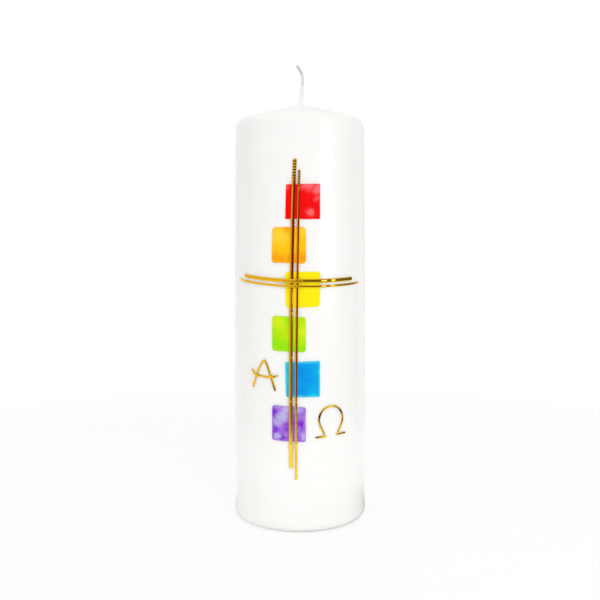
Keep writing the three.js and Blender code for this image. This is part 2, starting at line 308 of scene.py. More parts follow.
class Finish:
    """A node tree, and the one way in which nodes are added to it."""

    def __init__(self, tree):
        self.tree = tree

    def node(self, kind, settings=None, inputs=None, output=0):
        """Adds a node, with its settings first and then its inputs, and returns one of its outputs."""
        made = self.tree.nodes.new("ShaderNode" + kind)
        for name, setting in (settings or {}).items():
            setattr(made, name, setting)
        for name, value in (inputs or {}).items():
            self.feed(made.inputs[name], value)
        return Value(self, made.outputs[output])

    def feed(self, socket, value):
        if isinstance(value, Value):
            self.tree.links.new(value.socket, socket)
        else:
            socket.default_value = value

    def maths(self, operation, *values):
        return self.node("Math", {"operation": operation}, dict(enumerate(values)))

    def mix(self, share, first, second):
        """A colour that goes from the first to the second as share goes from 0 to 1.

        The node's sockets for colours are its inputs 6 and 7 and its output 2.
        """
        settings = {"data_type": "RGBA", "clamp_factor": True}
        return self.node("Mix", settings, {0: share, 6: first, 7: second}, output=2)

    def place(self, centre=(0, 0, 0), unit=(1, 1, 1)):
        """Object coordinates, counted from a centre in lengths of unit."""
        inputs = {
            "Vector": self.node("TexCoord", output="Object"),
            "Location": [-c / u for c, u in zip(centre, unit)],
            "Scale": [1 / u for u in unit],
        }
        return self.node("Mapping", None, inputs)

    def split(self, place):
        return [self.node("SeparateXYZ", None, {0: place}, output=i) for i in range(3)]

    def clouds(self, place, scale, detail=2.0, roughness=0.5, distortion=0.0):
        """Smooth noise about 0.5, with a grain of about 1 / scale."""
        inputs = {
            "Vector": place,
            "Scale": scale,
            "Detail": detail,
            "Roughness": roughness,
            "Distortion": distortion,
        }
        return self.node("TexNoise", None, inputs)


class Material(Finish):
    """A material on the Principled shader."""

    def __init__(self, name, **constants):
        self.material = bpy.data.materials.new(name)
        self.material.use_nodes = True
        super().__init__(self.material.node_tree)
        self.shader = self.tree.nodes["Principled BSDF"]
        for socket, value in constants.items():
            self.shader.inputs[socket.replace("_", " ")].default_value = value

    def show(self, colour=None, roughness=None):
        if colour is not None:
            self.feed(self.shader.inputs["Base Color"], colour)
        if roughness is not None:
            self.feed(self.shader.inputs["Roughness"], roughness)

    def relief(self, height, depth, strength=1.0):
        """Bump whose height goes from 0 to 1 over that depth."""
        inputs = {"Height": height, "Distance": depth, "Strength": strength}
        self.feed(self.shader.inputs["Normal"], self.node("Bump", None, inputs))


def colour(code):
    """A colour as it looks on a screen, by its six hexadecimal digits, as the shader wants it."""
    parts = [int(code[i : i + 2], 16) / 255 for i in (0, 2, 4)]
    linear = [c / 12.92 if c <= 0.04045 else ((c + 0.055) / 1.055) ** 2.4 for c in parts]
    return (*linear, 1)


# Finishes, and the marks on a strip's corners that the gold reads, which say where painted shade and painted
# reflection go
WAX_IOR = 1.44
GOLD_MARKS = ("edge", "groove", "painted_red_flank")


def white_wax():
    wax = Material(
        "white_wax",
        IOR=WAX_IOR,
        Specular_IOR_Level=0.45,
        Subsurface_Weight=0.4,
        Subsurface_Radius=(1, 0.85, 0.7),
        Subsurface_Scale=1.5 * MM,
    )
    place = wax.place()
    bloom = wax.clouds(place, scale=28, detail=3)
    speck = wax.clouds(place, scale=900, detail=2)
    tone = bloom.rise(0.3, 0.75) * 0.7 + speck.rise(0.62, 0.8) * 0.3
    wax.show(
        colour=wax.mix(tone, colour(WHITE_WAX), colour(WAX_BLOOM)),
        roughness=0.16 + bloom * 0.08 + speck * 0.04,
    )
    ripple = wax.clouds(wax.place(unit=(1, 1, 2.2)), scale=60, detail=1)
    grain = wax.clouds(place, scale=600, detail=2)
    wax.relief(ripple * 0.96 + grain * 0.04, depth=0.12 * MM, strength=0.6)
    return wax.material


def core_wax():
    wax = Material("core_wax", IOR=WAX_IOR, Subsurface_Weight=0.2, Subsurface_Scale=2.5 * MM)
    grains = wax.clouds(wax.place(), scale=700, detail=3)
    wax.show(
        colour=wax.mix(grains.rise(0.35, 0.7), colour(CORE_WAX), colour(CORE_GRAIN)),
        roughness=0.5 + grains * 0.2,
    )
    wax.relief(grains, depth=0.2 * MM)
    return wax.material


def cotton():
    """Loosely spun cotton, whiter where the wax has soaked it and beige at the cut tip."""
    yarn = Material("cotton_wick", Sheen_Weight=0.25, Specular_IOR_Level=0.25)
    place = yarn.place()
    height = yarn.split(place)[2]
    fibre = yarn.clouds(yarn.place(unit=(1, 1, 3)), scale=5200, detail=3)
    tip = (height - CONE_POINT).rise(*COTTON_CHANGE)
    spun, shade = (yarn.mix(tip, colour(foot), colour(end)) for foot, end in (COTTON, COTTON_SHADE))
    yarn.show(colour=yarn.mix(fibre.rise(0.35, 0.7), spun, shade), roughness=0.7 + fibre * 0.25)
    yarn.relief(fibre, depth=0.08 * MM)
    return yarn.material


def gold_foil():
    """Polished gold foil over wax, with scratches and dents.

    Its edges are painted darker, as wear and as painted shade. Its right flank is painted red,
    a painted reflection; its rib grooves are painted dark, a painted shade; and spots on the
    letters are painted dark, a painted reflection.
    """
    foil = Material("gold_foil", Metallic=1.0)
    place = foil.place()
    edge, groove, painted_red_flank = (
        foil.node("Attribute", {"attribute_name": mark}, output="Fac") for mark in GOLD_MARKS
    )
    dents = foil.clouds(place, scale=420, detail=2)
    scratches = foil.clouds(place, scale=3200, detail=2, distortion=0.4)
    # Painted shade and wear: darker towards the sides of each strip's section, and at random dents
    shade_and_wear = edge**4 * 0.2 + dents.rise(0.55, 0.8) * 0.12
    tone = foil.mix(shade_and_wear, colour(GOLD), colour(SHADED_WORN_GOLD))
    # Painted reflection: the right flank of an upright is painted red
    tone = foil.mix(painted_red_flank, tone, colour(PAINTED_RED_REFLECTION))
    foil.show(
        # Painted shade in the rib grooves, and painted dark reflections in spots on the letters
        colour=foil.mix(groove.rise(0.25, 0.7), tone, colour(PAINTED_SHADE_BROWN)),
        roughness=0.05 + dents * 0.06 + scratches * 0.06,
    )
    foil.relief(dents * 0.7 + scratches * 0.3, depth=0.02 * MM)
    return foil.material


def washed_wax(square, look):
    """Coloured wax sheet with a washed tone: a main colour, deeper and paler blots, and a fading edge."""
    sheet = Material(
        look["name"],
        IOR=WAX_IOR,
        Specular_IOR_Level=0.1,
        Subsurface_Weight=0.1,
        Subsurface_Scale=0.6 * MM,
    )
    unit = (square["half_width"], BODY_RADIUS, square["half_height"])
    place = sheet.place(centre=tuple(square["middle"]), unit=unit)
    across, _, up = sheet.split(place)
    clouds = sheet.clouds(place, scale=look["cloud_scale"], detail=2.5, roughness=0.5, distortion=0.5)
    wander = (clouds - 0.5) * look["wander"]

    def blots(places):
        """1 in the middle of each blot, by its place and radius, and 0 past its wandering outline."""
        mask = clouds * 0
        for x, z, radius in places:
            pair = {0: place, 1: (x, 0, z)}
            off = sheet.node("VectorMath", {"operation": "DISTANCE"}, pair, output="Value")
            mask = sheet.maths("MAXIMUM", mask, 1 - (off + wander) / radius)
        return mask.rise(0, look["softness"])

    tone = sheet.mix(clouds.rise(0.3, 0.7) * look["cloudy"], look["main"], look["cloud"])
    tone = sheet.mix(blots(look["deep_blots"]), tone, look["deep"])
    tone = sheet.mix(blots(look["pale_blots"]) * look["paleness"], tone, look["pale"])
    off_centre = sheet.maths("MAXIMUM", sheet.maths("ABSOLUTE", across), sheet.maths("ABSOLUTE", up))
    rim = (off_centre + wander * 0.2).rise(1 - look["rim_width"], 1)
    tone = sheet.mix(rim * look["rim_strength"], tone, look["rim"])
    grain = sheet.clouds(sheet.place(), scale=1400, detail=2)
    sheet.show(colour=tone, roughness=0.36 + grain * 0.12)
    sheet.relief(clouds * 0.7 + grain * 0.3, depth=0.06 * MM)
    return sheet.material


# Making pieces
def new_piece(name, bm, material, node):
    """Puts a finished bmesh in the scene, in place of a node of the frame."""
    bmesh.ops.recalc_face_normals(bm, faces=bm.faces[:])
    mesh = bpy.data.meshes.new(name)
    bm.to_mesh(mesh)
    bm.free()
    mesh.shade_smooth()
    mesh.set_sharp_from_angle(angle=math.radians(SHARP_DEGREES))
    mesh.materials.append(material)
    piece = bpy.data.objects.new(name, mesh)
    bpy.context.scene.collection.objects.link(piece)
    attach(piece, "root")
    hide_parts(node)


def tube(bm, sides, stations, place):
    """Adds a closed tube to a bmesh.

    Place gives each corner's spot from the corner, its share of the length and its angle.
    """
    first = len(bm.verts)
    bmesh.ops.create_cone(bm, cap_ends=True, segments=sides, radius1=1, radius2=1, depth=1)
    edges_of_tube = {edge for vert in bm.verts[first:] for edge in vert.link_edges}
    lengthwise = [edge for edge in edges_of_tube if edge.verts[0].co.z * edge.verts[1].co.z < 0]
    bmesh.ops.subdivide_edges(bm, edges=lengthwise, cuts=stations - 1)
    for vert in bm.verts[first:]:
        vert.co = place(vert, vert.co.z + 0.5, math.atan2(vert.co.y, vert.co.x))


def smooth_line(points, parts=16):
    """Places along a smooth line through a few points."""
    line = []
    padded = [points[0], *points, points[-1]]
    for a, b, c, d in zip(padded, padded[1:], padded[2:], padded[3:]):
        for i in range(parts):
            t = i / parts
            bend = (2 * a - 5 * b + 4 * c - d) * t**2 + (3 * b - a - 3 * c + d) * t**3
            line.append((2 * b + (c - a) * t + bend) / 2)
    return [*line, points[-1]]


class Route:
    """A line through places, read by the distance along it."""

    def __init__(self, places):
        self.places = places
        self.starts = [0.0]
        for a, b in zip(places, places[1:]):
            self.starts.append(self.starts[-1] + (b - a).length)
        self.length = self.starts[-1]

    def leg(self, distance):
        low, high = 0, len(self.places) - 2
        while low < high:
            middle = (low + high + 1) // 2
            if self.starts[middle] <= distance:
                low = middle
            else:
                high = middle - 1
        return low

    def at(self, distance):
        i = self.leg(distance)
        a, b = self.places[i], self.places[i + 1]
        return a.lerp(b, (distance - self.starts[i]) / (b - a).length)

    def heading(self, distance, reach=0.3 * MM):
        ahead = self.at(min(distance + reach, self.length))
        behind = self.at(max(distance - reach, 0))
        return (ahead - behind).normalized()

    def nearest(self, place):
        return min(self.places, key=lambda p: (p - place).length_squared)


# Body
def wall_radius(height):
    """The wall draws in a little towards the shoulder."""
    part = min(max((height - DRAW_IN_START) / WALL_DRAW_IN_HEIGHT, 0), 1)
    return BODY_RADIUS - WALL_DRAW_IN * part**2


def on_wall(along, height, depth):
    """A place on the wall, by the length along it from the front centre line."""
    angle = along / BODY_RADIUS
    radius = wall_radius(height) + depth
    return Vector((radius * math.sin(angle), -radius * math.cos(angle), height))


WICK_ROUTE = Route(smooth_line([Vector((x * MM, 0, CONE_POINT + z * MM)) for x, z in WICK_BENDS]))


def wick_lean(height):
    """How far the wick has moved off the axis at a height."""
    return min(WICK_ROUTE.places, key=lambda p: abs(p.z - height)).x


def arc(centre_radius, centre_height, radius, start, end, steps):
    turned = [math.radians(start + (end - start) * i / steps) for i in range(steps + 1)]
    return [(centre_radius + radius * math.cos(a), centre_height + radius * math.sin(a)) for a in turned]


def levels(low, high, step):
    count = math.ceil((high - low) / step)
    return [low + (high - low) * i / count for i in range(1, count)]


def sleeve_profile():
    """The flare on the wick's foot, and the sleeve of wax that thins out up the wick."""
    outer = WICK_RADIUS + SLEEVE_WALL
    foot = outer + SLEEVE_FOOT_SPREAD
    a = Vector((foot, CONE_POINT - CONE_SLOPE * foot))
    b = Vector((outer + SLEEVE_WALL / 2, CONE_POINT - CONE_SLOPE * outer))
    c = Vector((outer, CONE_POINT + SLEEVE_FOOT_HEIGHT))
    points = []
    for i in range(FLARE_PARTS + 1):
        t = i / FLARE_PARTS
        points.append(tuple(a * (1 - t) ** 2 + b * 2 * t * (1 - t) + c * t**2))
    for height in [*levels(CONE_POINT + SLEEVE_FOOT_HEIGHT, SLEEVE_TOP, SLEEVE_STEP), SLEEVE_TOP]:
        part = max(0, 1 - (SLEEVE_TOP - height) / SLEEVE_THINNING)
        points.append((outer - (SLEEVE_WALL - SLEEVE_RIM) * part**2, height))
    return points


def body_profile():
    """The coat's outline from the middle of the base, up outside, and down inside."""
    edge = BASE + BASE_EDGE_RADIUS
    base_edge = arc(BODY_RADIUS - BASE_EDGE_RADIUS, edge, BASE_EDGE_RADIUS, -90, 0, BASE_EDGE_PARTS)
    wall = [(wall_radius(z), z) for z in levels(edge, SHOULDER_CENTRE_HEIGHT, WALL_STEP)]
    shoulder_end = 90 - math.degrees(math.atan(CONE_SLOPE))
    shoulder_middle = (SHOULDER_CENTRE_RADIUS, SHOULDER_CENTRE_HEIGHT)
    shoulder = arc(*shoulder_middle, SHOULDER_RADIUS, 0, shoulder_end, SHOULDER_PARTS)
    sleeve = sleeve_profile()
    cone_steps = reversed(levels(sleeve[0][0], shoulder[-1][0], CONE_STEP))
    cavity_radius = BODY_RADIUS - WALL_DRAW_IN - COAT_THICKNESS
    cavity_tip = CONE_POINT - COAT_THICKNESS * CONE_FACTOR
    bore = WICK_RADIUS - SLEEVE_GRIP
    return [
        (0, BASE),
        *base_edge,
        *wall,
        *shoulder,
        *[(radius, CONE_POINT - CONE_SLOPE * radius) for radius in cone_steps],
        *sleeve,
        (bore, SLEEVE_TOP - SLEEVE_STEP),
        (bore, cavity_tip - CONE_SLOPE * bore),
        (cavity_radius, cavity_tip - CONE_SLOPE * cavity_radius),
        (cavity_radius, BASE + COAT_FLOOR),
        (0, BASE + COAT_FLOOR),
    ]


def push_out(vert, depth):
    """Moves a corner away from the axis."""
    vert.co += depth * Vector((vert.co.x, vert.co.y, 0)).normalized()


def settle_wax(vert):
    """Moves a corner of the body: slight waves in the dipped wall, and the sleeve's lean and braid marks."""
    place = vert.co.copy()
    radius = math.hypot(place.x, place.y)
    if place.z > CONE_POINT - COAT_THICKNESS * CONE_FACTOR and radius < LEAN_REACH:
        angle = math.atan2(place.y, place.x)
        if place.z > CONE_POINT + SLEEVE_FOOT_HEIGHT and radius > WICK_RADIUS:
            turn = 2 * math.pi * place.z / BRAID_PITCH
            marks = math.cos(MARKS_ROUND * (angle - turn)) * math.cos(MARKS_ROUND * (angle + turn))
            push_out(vert, marks * MARK_DEPTH)
        vert.co.x += wick_lean(place.z)
    elif radius > BODY_RADIUS - WALL_DRAW_IN - COAT_THICKNESS / 2 and place.z > BASE + BASE_EDGE_RADIUS:
        wave = noise.noise(Vector((place.x, place.y, place.z / 2)) * WALL_WAVE_SCALE) - 1
        push_out(vert, wave * WALL_WAVE_DEPTH)


def make_body():
    bm = bmesh.new()
    outline = [bm.verts.new((radius, 0, height)) for radius, height in body_profile()]
    edges = [bm.edges.new(pair) for pair in zip(outline, outline[1:])]
    bmesh.ops.spin(
        bm,
        geom=outline + edges,
        cent=(0, 0, 0),
        axis=(0, 0, 1),
        angle=2 * math.pi,
        steps=BODY_SIDES,
        use_merge=True,
    )
    bmesh.ops.remove_doubles(bm, verts=bm.verts[:], dist=SAME_SPOT)
    for vert in bm.verts:
        settle_wax(vert)
    new_piece("candle_body", bm, white_wax(), "overdip_coat")


# Wick
def round_wick(radius, angle, distance):
    """A place about the wick's line, which bends in the plane of X and Z only."""
    heading = WICK_ROUTE.heading(distance)
    out = Vector((heading.z, 0, -heading.x))
    return WICK_ROUTE.at(distance) + radius * (math.cos(angle) * out + math.sin(angle) * Vector((0, 1, 0)))


def make_wick():
    """A round braid of ten strands over a plain core, which runs down through the candle."""
    bm = bmesh.new()
    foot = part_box("wick")[0].z
    start = WICK_ROUTE.places[0].z
    core_radius = WICK_RADIUS - STRAND_COVER

    def place_core(_, share, angle):
        below = start - foot
        distance = share * (below + WICK_ROUTE.length - CORE_END_COVER) - below
        if distance < 0:
            x, y = core_radius * math.cos(angle), core_radius * math.sin(angle)
            return Vector((x, y, start + distance))
        return round_wick(core_radius, angle, distance)

    tube(bm, CORE_SIDES, CORE_STATIONS, place_core)
    weave_radius = WICK_RADIUS - STRAND_RADIUS - STRAND_WEAVE
    for way in (1, -1):
        for strand in range(STRANDS_EACH_WAY):
            first = 2 * math.pi * strand / STRANDS_EACH_WAY
            uneven = 1 + noise.noise(Vector((way * 3.1, strand * 2.7, 0.5)))
            cut = WICK_ROUTE.length - STRAND_END_SPREAD * uneven

            def place_strand(_, share, angle, way=way, first=first, cut=cut):
                distance = share * cut
                turn = 2 * math.pi * distance / BRAID_PITCH
                fray = max(0, distance - cut + FRAY_LENGTH) / FRAY_LENGTH
                weave = way * STRAND_WEAVE * math.cos(WEAVES_IN_A_TURN * turn)
                radius = weave_radius + weave + fray**2 * FRAY_SPREAD
                thick = STRAND_RADIUS * (1 - FRAY_THINNING * fray**3)
                centre = round_wick(radius, first + way * turn, distance)
                outwards = (centre - WICK_ROUTE.at(distance)).normalized()
                sideways = WICK_ROUTE.heading(distance).cross(outwards)
                wide = STRAND_WIDENING * math.sin(angle) * sideways
                return centre + thick * (wide + STRAND_FLATTENING * math.cos(angle) * outwards)

            tube(bm, STRAND_SIDES, STRAND_STATIONS, place_strand)
    new_piece("braided_wick", bm, cotton(), "wick")


# Coloured squares
def square_from(node, corner, left=0.0, right=0.0, top=0.0, bottom=0.0):
    """A square's place and size along the wall, from the frame's piece, and how far the knife ran off.

    The left and right edges run off to the right at the top, and the other two upwards at the right end.
    """
    low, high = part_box(node)
    level = (low.z + high.z) / 2
    face = wall_radius(level) + PRESS_GAP + SHEET_THICKNESS
    start, end = (BODY_RADIUS * math.asin(x / face) for x in (low.x, high.x))
    along = (start + end) / 2
    return {
        "node": node,
        "along": along,
        "level": level,
        "half_width": (end - start) / 2,
        "half_height": (high.z - low.z) / 2,
        "corner": corner,
        "cuts": (left, right, top, bottom),
        "middle": on_wall(along, level, 0),
    }


def closer_at_rim(share):
    """Spaces the grid's lines more closely towards the rim, where the sheet's edge is rounded."""
    return share * (1 + CLOSER_AT_RIM * (1 - share**2))


def square_corner(square, across, up):
    """A grid corner's place on the square with its round corners, and how far it is from the rim."""
    a = square["half_width"] * closer_at_rim(across)
    b = square["half_height"] * closer_at_rim(up)
    over_a = abs(a) - (square["half_width"] - square["corner"])
    over_b = abs(b) - (square["half_height"] - square["corner"])
    if over_a <= 0 or over_b <= 0:
        return a, b, min(square["half_width"] - abs(a), square["half_height"] - abs(b))
    p, q = over_a / square["corner"], over_b / square["corner"]
    round_p, round_q = p * math.sqrt(1 - q * q / 2), q * math.sqrt(1 - p * p / 2)
    a = math.copysign(abs(a) + (round_p - p) * square["corner"], a)
    b = math.copysign(abs(b) + (round_q - q) * square["corner"], b)
    return a, b, square["corner"] * (1 - math.hypot(round_p, round_q))


def knife_cut(square, a, b):
    """Moves a place on the square as the knife ran, a little askew and not quite straight."""
    left, right, top, bottom = square["cuts"]
    u, v = a / square["half_width"], b / square["half_height"]
    askew_a = v * (left * (1 - u) + right * (1 + u)) / 2
    askew_b = u * (bottom * (1 - v) + top * (1 + v)) / 2
    layer = square["level"] * SQUARES_APART_IN_NOISE
    wander_a = u * noise.noise(Vector((v * KNIFE_WANDER_SCALE + u, layer, 0)))
    wander_b = v * noise.noise(Vector((u * KNIFE_WANDER_SCALE + v, layer, 7)))
    return a + askew_a + wander_a * KNIFE_WANDER, b + askew_b + wander_b * KNIFE_WANDER


def make_square(name, square, material):
    """A thin cut sheet with rounded edges, pressed by hand onto the wall."""
    bm = bmesh.new()
    bmesh.ops.create_grid(bm, x_segments=SQUARE_CELLS, y_segments=SQUARE_CELLS, size=1)
    lifted = bmesh.ops.extrude_face_region(bm, geom=bm.faces[:], use_keep_orig=True)
    front = [part for part in lifted["geom"] if isinstance(part, bmesh.types.BMVert)]
    bmesh.ops.translate(bm, verts=front, vec=(0, 0, 1))
    for vert in bm.verts:
        is_front = vert.co.z > 0.5
        a, b, inside = square_corner(square, vert.co.x, vert.co.y)
        depth = -PRESS_SINK
        if is_front:
            fall = SHEET_EDGE_ROUND - min(max(inside, 0), SHEET_EDGE_ROUND)
            rounding = SHEET_EDGE_ROUND - math.sqrt(SHEET_EDGE_ROUND**2 - fall**2)
            dent = 1 - noise.noise(Vector((a, b, square["level"])) * SHEET_DENT_SCALE)
            depth = PRESS_GAP + SHEET_THICKNESS - rounding - dent * SHEET_DENT_DEPTH
        a, b = knife_cut(square, a, b)
        vert.co = on_wall(square["along"] + a, square["level"] + b, depth)
    new_piece(name, bm, material, square["node"])


# Gold strips
def square_support(square):
    """A square as a strip lies over it: how far off a place is, how high the face is, how long the climb."""

    def distance(place):
        side = max(0, abs(place.x - square["along"]) - square["half_width"])
        end = max(0, abs(place.y - square["level"]) - square["half_height"])
        return math.hypot(side, end)

    return distance, lambda place: PRESS_GAP + SHEET_THICKNESS, SQUARE_CLIMB


def strip_support(strip):
    """A strip as another strip lies over it, in the same three ways."""

    def distance(place):
        return max(0, (strip["route"].nearest(place) - place).length - strip["width"] / 2)

    def face_height(place):
        return lift_at(strip["route"].nearest(place), strip["width"], strip["over"]) + strip["crown"]

    return distance, face_height, STRIP_CLIMB


def lift_at(place, width, supports):
    """How high a strip's back stands at a place, so that it climbs over all that it crosses."""
    lift = PRESS_GAP
    for distance, face_height, climb in supports:
        off = min(max(distance(place) - width / 2 - CLIMB_MARGIN, 0) / climb, 1)
        if off < 1:
            lift = max(lift, PRESS_GAP + face_height(place) * (1 - off * off * (3 - 2 * off)))
    return lift


def strip_section(strip, distance, angle):
    """A corner of the half-round section: how far across and up it is, and its marks for the gold.

    The back is flat, so its corners spread out to the edges, where the angle is 0 or half a turn.
    """
    length = strip["route"].length
    share = distance / length
    taper = 1 - strip["taper"] * max(0, 1 - min(distance, length - distance) / strip["taper_length"])
    half = strip["width"] / 2 * taper
    if -math.pi + ANGLE_SLACK < angle < -ANGLE_SLACK:
        return half * max(-1, min(1, BACK_SPREAD * math.cos(angle))), -PRESS_GAP, (1, 0, 0)
    round_up = abs(math.sin(angle))
    # red is how strongly the right flank is painted red, as a painted reflection
    strength, red = strip["ribbed"](share, -math.cos(angle))
    # The rib's groove: cut into the shape, and also painted dark in the gold as painted shade
    groove = strength * (1 - math.cos(2 * math.pi * distance / strip["rib_pitch"])) / 2
    rib = strip["rib_depth"] * groove * (RIB_AT_EDGE + (1 - RIB_AT_EDGE) * round_up)
    crown = strip["crown"] * (TAPERED_CROWN + (1 - TAPERED_CROWN) * taper)
    up = strip["side"] + (crown - strip["side"]) * round_up - rib
    # Painted dark reflections: spots along a letter where the gold is painted brown
    spots = [depth * (1 - abs(share - middle) / reach) for middle, reach, depth in strip["painted_dark_spots"]]
    return half * math.cos(angle), up, (abs(math.cos(angle)), max(groove, *spots, 0), red)


def lay_strip(name, strip, material):
    """A strip along its route, laid on the wall and over what it crosses."""
    route = strip["route"]
    stations = round(route.length / strip["step"])
    lifts = []
    for i in range(stations + 1):
        lifts.append(lift_at(route.at(route.length * i / stations), strip["width"], strip["over"]))
    bm = bmesh.new()
    layers = [bm.verts.layers.float.new(mark) for mark in GOLD_MARKS]

    def place(vert, share, angle):
        distance = share * route.length
        across, up, marks = strip_section(strip, distance, angle)
        for layer, mark in zip(layers, marks):
            vert[layer] = mark
        spot, heading = route.at(distance), route.heading(distance)
        along = spot.x - heading.y * across
        height = spot.y + heading.x * across
        return on_wall(along, height, lifts[round(share * stations)] + up - PRESS_SINK)

    tube(bm, strip["sides"], stations, place)
    new_piece(name, bm, material, strip["node"])


# Routes and ribs
def upright_route(node, foot_along, lean, bend):
    low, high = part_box(node)
    points = []
    for i in range(ROUTE_PARTS + 1):
        part = i / ROUTE_PARTS
        points.append(Vector((foot_along + lean * part**bend, low.z + (high.z - low.z) * part)))
    return Route(smooth_line(points))


def arm_route(ends, height):
    left, right = ends
    points = []
    for i in range(ROUTE_PARTS + 1):
        along = left + (right - left) * i / ROUTE_PARTS
        points.append(Vector((along, height + (along - ARM_LOW_POINT) ** 2 / (2 * ARM_BOW_RADIUS))))
    return Route(smooth_line(points))


def letter_route(centre, points):
    return Route(smooth_line([centre + Vector(point) * MM for point in points]))


def step_up(value, start, end):
    return max(0, min(1, (value - start) / (end - start)))


def wide_ribs(share, side):
    """How deep the ribs are, and how strongly the right flank is painted red there, as a painted reflection.

    Share is counted along the strip, and side goes from -1 on the left to 1 on the right.
    """
    painted_red_flank = step_up(side, *WIDE_FLANK_SIDE) * step_up(share, *WIDE_FLANK_START)
    deep = max(step_up(share, *WIDE_TOP_RIBS), WIDE_FLANK_DEPTH * painted_red_flank)
    return deep, painted_red_flank * (1 - step_up(share, *WIDE_FLANK_STOP))


def narrow_ribs(share, side):
    along = step_up(share, *NARROW_FLANK_START) * (1 - step_up(share, *NARROW_FLANK_STOP))
    painted_red_flank = step_up(side, *NARROW_FLANK_SIDE) * along
    foot = NARROW_FOOT_DEPTH * (1 - step_up(share, *NARROW_FOOT_RIBS))
    # The second value is how strongly the right flank is painted red, as a painted reflection
    return max(NARROW_FLANK_DEPTH * painted_red_flank, foot, step_up(share, *NARROW_TOP_RIBS)), painted_red_flank


def no_ribs(share, side):
    return 0, 0


def omega_foot_place(side, off):
    return (side * off, side * off * OMEGA_FOOT_SLOPE - OMEGA_FOOT_DROP)


def omega_points():
    first = 180 + OMEGA_OPENING_DEGREES
    turn = -(180 + 2 * OMEGA_OPENING_DEGREES)
    turned = [math.radians(first + turn * i / OMEGA_PARTS) for i in range(OMEGA_PARTS + 1)]
    loop = [(OMEGA_RADIUS * math.cos(a), OMEGA_RADIUS * math.sin(a)) for a in turned]
    left, right = (omega_foot_place(side, OMEGA_LEG_SPREAD) for side in (-1, 1))
    return [(left[0], left[1] + OMEGA_LEG_LIFT), *loop, (right[0], right[1] + OMEGA_LEG_LIFT)]


def omega_foot_route(centre, side):
    return letter_route(centre, [omega_foot_place(side, off) for off in OMEGA_FOOT_ENDS])


# Staging
def bright_sides(across, depth, left_edge):
    """How bright the room is that the gold mirrors, by a direction across and in depth."""
    behind = depth.rise(*BACK_EDGE) * BACK_BRIGHTNESS
    left = (0 - across).rise(*left_edge) * LEFT_BRIGHTNESS
    return 1 - (1 - behind) * (1 - left)


def mirrored_room(finish, bright):
    """The room as the gold shows it: reddish where it is half lit."""
    dim = finish.mix(bright.rise(0, 0.5), colour(DIM_SIDE), colour(HALF_LIT_SIDE))
    return finish.mix(bright.rise(0.5, 1), dim, WHITE)


def seen_by_camera(finish):
    """1 for what the camera sees, straight or through something clear, and 0 for all other light."""
    straight = finish.node("LightPath", output="Is Camera Ray")
    through = finish.node("LightPath", output="Is Transmission Ray")
    return straight + through


def white_floor():
    """A white floor that keeps the soft shadow, and fades to the white background away from the object.

    The gold mirrors a ring of bright table in it, and the room past that.
    """
    bm = bmesh.new()
    bmesh.ops.create_circle(bm, cap_ends=True, segments=96, radius=FLOOR_RADIUS)
    mesh = bpy.data.meshes.new("floor")
    bm.to_mesh(mesh)
    bm.free()
    floor = bpy.data.objects.new("floor", mesh)
    floor.location.z = BASE - FLOOR_DROP
    bpy.context.scene.collection.objects.link(floor)
    material = bpy.data.materials.new("floor")
    material.use_nodes = True
    paint = Finish(material.node_tree)
    place = paint.node("TexCoord", output="Object")
    away = paint.node("VectorMath", {"operation": "LENGTH"}, {0: place}, output="Value")
    fade = away.rise(*FLOOR_FADE)
    lit = paint.node("BsdfDiffuse", None, {"Color": paint.mix(fade, colour(NEAR_FLOOR), colour(FAR_FLOOR))})
    mirrored = paint.node("LightPath", output="Is Glossy Ray")
    seen = seen_by_camera(paint)
    across, depth, _ = (part / away for part in paint.split(place))
    table = away.rise(*TABLE_START) * (1 - away.rise(*TABLE_END))
    off_table = mirrored_room(paint, bright_sides(across, depth, FLOOR_LEFT_EDGE))
    glow = paint.node(
        "Emission",
        None,
        {
            "Color": paint.mix((1 - table) * mirrored, WHITE, off_table),
            "Strength": FLOOR_GLOW * seen + TABLE_GLOW * mirrored,
        },
    )
    glow_share = seen * (NEAR_GLOW_SHARE + (1 - NEAR_GLOW_SHARE) * fade) + mirrored
    surface = paint.node("MixShader", None, {0: glow_share, 1: lit, 2: glow})
    paint.feed(paint.tree.nodes["Material Output"].inputs["Surface"], surface)
    mesh.materials.append(material)


def studio_world():
    """A room that is white to the camera, lights the candle with pale walls, and is dimmer to the gold."""
    world = bpy.data.worlds.new("studio")
    bpy.context.scene.world = world
    world.use_nodes = True
    room = Finish(world.node_tree)
    across, depth, up = room.split(room.node("TexCoord", output="Generated"))
    dimmer = RIGHT_DIMMING * across.rise(*RIGHT_DIMMING_EDGE) + UPPER_DIMMING * up.rise(*UPPER_DIMMING_EDGE)
    walls = room.mix(WALL_BRIGHTNESS - dimmer, BLACK, WHITE)
    above = up.rise(*ABOVE_EDGE) * ABOVE_BRIGHTNESS
    bright = 1 - (1 - bright_sides(across, depth, ROOM_LEFT_EDGE)) * (1 - above)
    mirrored = room.node("LightPath", output="Is Glossy Ray")
    around = room.mix(mirrored, walls, mirrored_room(room, bright))
    sky = room.mix(seen_by_camera(room), around, WHITE)
    room.feed(room.tree.nodes["Background"].inputs["Color"], sky)


